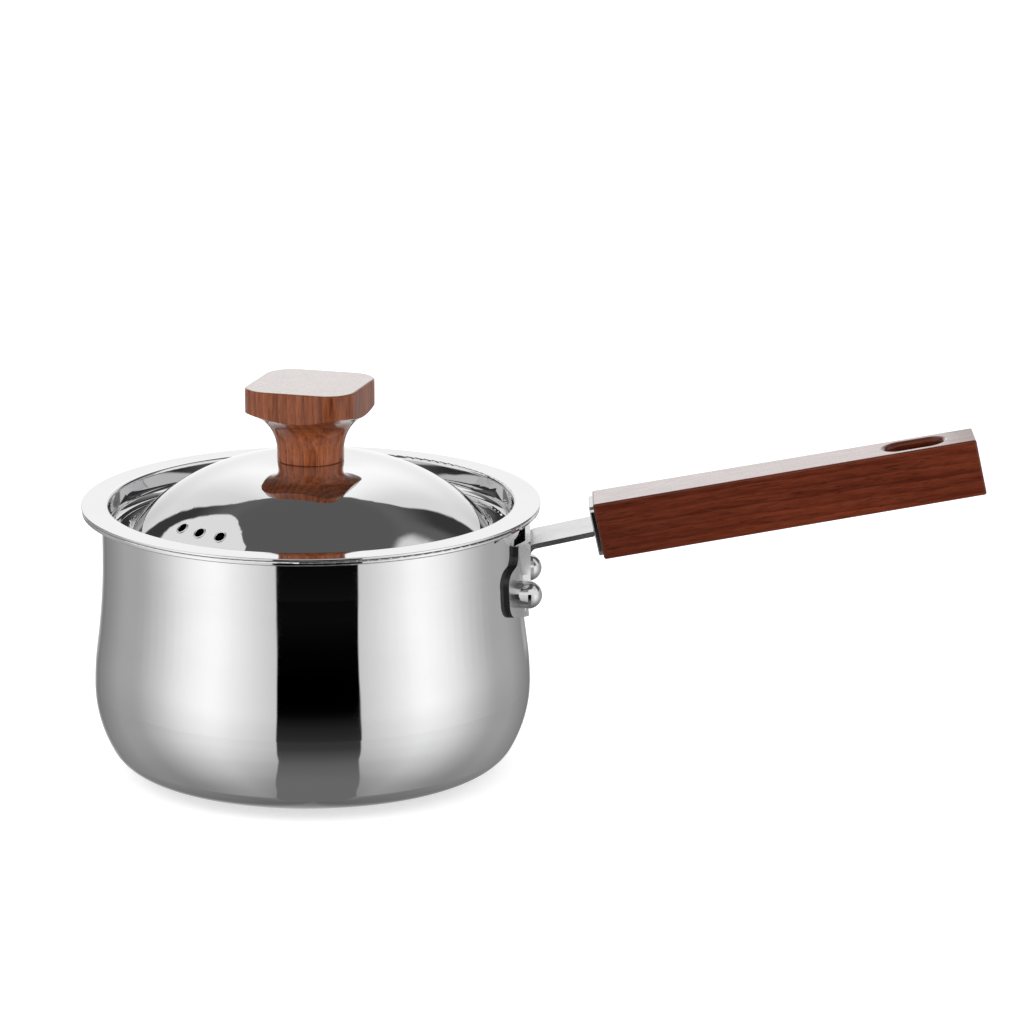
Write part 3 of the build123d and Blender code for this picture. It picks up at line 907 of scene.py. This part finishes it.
def lay_floor(settings):
    """A plain floor that the polished steel does not mirror, so that the cards below the rim
    show in it."""
    floor = lay_square("floor", settings.floor_size, 0)
    finish, tree, skin = new_finish("pale floor")
    colour, patches = settings.floor_colour, speckle(tree, FLOOR_PATCHES)
    fill(
        tree, skin,
        Base_Color=blend_colours(tree, patches, colour, dimmed(colour, FLOOR_PATCH_SHARE)),
        Roughness=0.9, Specular_IOR_Level=0.0,
        Emission_Color=(1, 1, 1, 1), Emission_Strength=FLOOR_GLOW,
    )
    floor.data.materials.append(finish)
    floor.visible_glossy = False


def paint_table_shade(settings):
    """A clear sheet on the floor that only mirrors see, painted shade: it dims the cards near the
    pan like the pan's shadow on the table, and adds a little grey as a painted glow."""
    sheet = lay_square("painted table shade", settings.floor_size, -SHEET_DROP)
    finish, tree, skin = new_finish("painted table shade")
    where = spot(tree)
    out = slant(tree, where["X"], where["Y"])
    # painted shade near the pan, and a painted grey glow
    clearness, glow = (
        steps_of_grey(tree, between(tree, out, *span, smooth=False), greys)
        for span, greys in ((CLEARNESS_SPAN, CLEARNESS_GREYS), (GLOW_SPAN, GLOW_GREYS))
    )
    clear = place(tree, "ShaderNodeBsdfTransparent", Color=clearness)
    grey = place(tree, "ShaderNodeEmission", Color=glow, Strength=1 / settings.steel_exposure)
    both = place(tree, "ShaderNodeAddShader")
    join(tree, both.inputs[0], clear.outputs[0])
    join(tree, both.inputs[1], grey.outputs[0])
    tree.nodes.remove(skin)
    fill(tree, tree.nodes["Material Output"], Surface=both.outputs[0])
    sheet.data.materials.append(finish)
    for kind in ("camera", "diffuse", "transmission", "volume_scatter", "shadow"):
        setattr(sheet, f"visible_{kind}", False)


def hang_light(name, where, size, power):
    """A soft light that looks at the pan."""
    lamp = bpy.data.lights.new(name, "AREA")
    lamp.shape = "RECTANGLE"
    lamp.size, lamp.size_y = size
    lamp.energy = power
    holder = bpy.data.objects.new(name, lamp)
    holder.location = where
    holder.rotation_euler = (LIGHTS_AIM - Vector(where)).to_track_quat("-Z", "Y").to_euler()
    bpy.context.scene.collection.objects.link(holder)
    return holder


def hang_lights(settings):
    """Two large soft lights on the left and the right above the camera, which mirrors don't see,
    and a window behind the pan that shines only in the lacquered wood."""
    key = hang_light("key light", KEY_PLACE, SOFT_BOX, settings.key_light)
    fill_in = hang_light("fill light", FILL_PLACE, SOFT_BOX, settings.key_light * FILL_SHARE)
    key.visible_glossy = fill_in.visible_glossy = False
    window = hang_light("window light", WINDOW_PLACE, WINDOW_SIZE, settings.window_light)
    lacquered = bpy.data.collections.new("lacquered wood")
    for name in ("handle_grip", "lid_knob"):
        lacquered.objects.link(frame["nodes"][name])
    window.light_linking.receiver_collection = lacquered


def soft_walls(tree, from_flag, height, depth):
    """Two tall soft walls, left and right of the camera, that grey towards the back and towards
    the table, under a dark ceiling."""
    walls = steps_of_grey(tree, between(tree, from_flag, 0, HALF_TURN, smooth=False), WALL_GREYS)
    share = steps_of_grey(tree, depth, WALL_SHARES)
    level = add(tree, times(tree, walls, share), steps_of_grey(tree, depth, TABLE_GREYS))
    level = blend_numbers(tree, between(tree, height, *UPPER_WALL_HEIGHT), level, UPPER_WALL_GREY)
    return blend_numbers(tree, between(tree, height, *CEILING_HEIGHT), level, CEILING_GREY)


def dark_room(tree, level, compass, height):
    """The dark room behind, with a grey strip of wall on either hand."""
    round_side = unsigned(tree, compass)
    in_room = times(
        tree, between(tree, round_side, *ROOM_COMPASS), between(tree, height, *ROOM_HEIGHT),
    )
    room = between(tree, round_side, *ROOM_STRIP_COMPASS, *ROOM_STRIP_GREYS)
    room = blend_numbers(tree, between(tree, round_side, *ROOM_DEEP_COMPASS), room, ROOM_DEEP_GREY)
    room = blend_numbers(tree, between(tree, height, *ROOM_UPPER_HEIGHT), room, ROOM_UPPER_GREY)
    level = blend_numbers(tree, in_room, level, room)
    return blend_numbers(tree, between(tree, height, *ROOM_CEILING_HEIGHT), level, CEILING_GREY)


def hang_card(tree, level, across, up, card, grey):
    """Hangs a flat card with round corners in front of what is there so far."""
    tall, waist = (card.top - card.low) / 2, (card.low + card.top) / 2
    beyond = [
        reckon(tree, "MAXIMUM", add(tree, unsigned(tree, take(tree, value, middle)), inset), 0.0)
        for value, middle, inset in (
            (across, card.middle, card.corner - card.half_width), (up, waist, card.corner - tall),
        )
    ]
    edge = card.corner - card.softness, card.corner + card.softness
    inside = between(tree, slant(tree, *beyond), *edge, 1.0, 0.0)
    return blend_numbers(tree, inside, level, grey)


def back_window(tree, level, way):
    """The window behind, in the plane y = 1, brightest in its middle and at its top."""
    back = reckon(tree, "MAXIMUM", way["Y"], LEAST_SHARE)
    across = reckon(tree, "DIVIDE", way["X"], back)
    up = reckon(tree, "DIVIDE", way["Z"], back)
    glow = times(
        tree, between(tree, unsigned(tree, across), *BACK_WINDOW_ACROSS),
        between(tree, up, *BACK_WINDOW_UP),
    )
    return hang_card(tree, level, across, up, BACK_WINDOW, glow)


def hand_cards(tree, level, way):
    """A tall card on the left and a lower one on the right, in the planes x = -1 and x = 1."""
    for hand, card, grey in HAND_CARDS:
        beside = reckon(tree, "MAXIMUM", times(tree, way["X"], hand), LEAST_SHARE)
        across = reckon(tree, "DIVIDE", way["Y"], beside)
        up = reckon(tree, "DIVIDE", way["Z"], beside)
        level = hang_card(tree, level, across, up, card, grey)
    return level


def black_flag(tree, level, from_flag, height, depth):
    """A narrow black flag beside the lens, which widens and greys towards the table."""
    below = between(tree, height, FLAG_SPREAD_FROM, STRAIGHT_DOWN, smooth=False)
    widening = times(tree, below, add(tree, FLAG_SPREAD, times(tree, below, FLAG_SPREAD_SQUARE)))
    widening = add(tree, widening, between(tree, height, *FLAG_HIP))
    low = between(tree, height, FLAG_FOOT_FROM, STRAIGHT_DOWN, smooth=False)
    foot = reckon(tree, "POWER", low, 2.0)
    widening = add(tree, widening, times(tree, foot, FLAG_FOOT_SPREAD_SQUARE))
    outside = take(tree, from_flag, between(tree, height, *FLAG_HALF_WIDTH))
    outside = take(tree, outside, widening)
    behind = between(tree, outside, -FLAG_EDGE, FLAG_EDGE, 1.0, 0.0)
    behind = times(tree, behind, between(tree, height, *FLAG_TOP, 1.0, 0.0))
    return blend_numbers(tree, behind, level, steps_of_grey(tree, depth, FLAG_GREYS))


def paint_surroundings(scene, settings):
    """The walls, room, cards and flag that the polished steel mirrors."""
    scene.world = bpy.data.worlds.new("studio")
    scene.world.use_nodes = True
    tree = scene.world.node_tree
    way = spot(tree, "Generated")
    turn = reckon(tree, "ARCTAN2", way["X"], times(tree, way["Y"], -1.0))
    compass = times(tree, turn, DEGREES)
    height = times(tree, reckon(tree, "ARCSINE", way["Z"]), DEGREES)
    depth = between(tree, height, STRAIGHT_DOWN, 0, smooth=False)
    from_flag = unsigned(tree, take(tree, compass, FLAG_COMPASS))

    level = soft_walls(tree, from_flag, height, depth)
    level = dark_room(tree, level, compass, height)
    level = back_window(tree, level, way)
    level = hand_cards(tree, level, way)
    level = black_flag(tree, level, from_flag, height, depth)
    level = reckon(tree, "DIVIDE", level, settings.steel_exposure)

    # only mirrors see the cards; the wood and the floor get an even light
    path = place(tree, "ShaderNodeLightPath")
    level = blend_numbers(tree, path.outputs["Is Diffuse Ray"], level, settings.soft_light)
    level = blend_numbers(tree, path.outputs["Is Camera Ray"], level, 1.0)
    fill(tree, tree.nodes["Background"], Color=level)


def stand_camera(scene, settings):
    """The camera at the photographed angle."""
    sight = bpy.data.cameras.new("camera")
    sight.sensor_width = SENSOR_WIDTH
    sight.lens = settings.lens
    sight.clip_start = NEAREST_SEEN
    sight.clip_end = FARTHEST_SEEN
    stand = bpy.data.objects.new("camera", sight)
    stand.location = settings.camera_place
    stand.rotation_euler = (math.pi / 2 - settings.pitch, 0, 0)
    scene.collection.objects.link(stand)
    scene.camera = stand


# Sidebar

class MILKPAN_PT_sidebar(Panel):
    bl_idname = "MILKPAN_PT_sidebar"
    bl_label = "Milk pan"
    bl_space_type = "VIEW_3D"
    bl_region_type = "UI"
    bl_category = "Milk pan"

    def draw(self, context):
        for group in SETTINGS:
            box = self.layout.box()
            for name in group.__annotations__:
                box.prop(getattr(context.scene, SETTINGS[group]), name)
        for operator in STEPS:
            self.layout.operator(operator.bl_idname)


SETTINGS = {
    MilkPanSteel: "milkpan_steel",
    MilkPanWood: "milkpan_wood",
    MilkPanVents: "milkpan_vents",
    MilkPanStudio: "milkpan_studio",
}

STEPS = (
    MILKPAN_OT_set_stage,
    MILKPAN_OT_polish_steel,
    MILKPAN_OT_finish_base,
    MILKPAN_OT_lacquer_handle,
    MILKPAN_OT_lacquer_knob,
    MILKPAN_OT_press_vent_rims,
)


def register():
    for group, name in SETTINGS.items():
        bpy.utils.register_class(group)
        setattr(bpy.types.Scene, name, PointerProperty(type=group))
    for operator in STEPS:
        bpy.utils.register_class(operator)
    bpy.utils.register_class(MILKPAN_PT_sidebar)


def unregister():
    bpy.utils.unregister_class(MILKPAN_PT_sidebar)
    for operator in reversed(STEPS):
        bpy.utils.unregister_class(operator)
    for group, name in SETTINGS.items():
        delattr(bpy.types.Scene, name)
        bpy.utils.unregister_class(group)


def main():
    register()
    bpy.ops.milkpan.set_stage()
    bpy.ops.milkpan.polish_steel()
    bpy.ops.milkpan.finish_base()
    bpy.ops.milkpan.lacquer_handle()
    bpy.ops.milkpan.lacquer_knob()
    bpy.ops.milkpan.press_vent_rims()


if __name__ == "__main__":
    main()
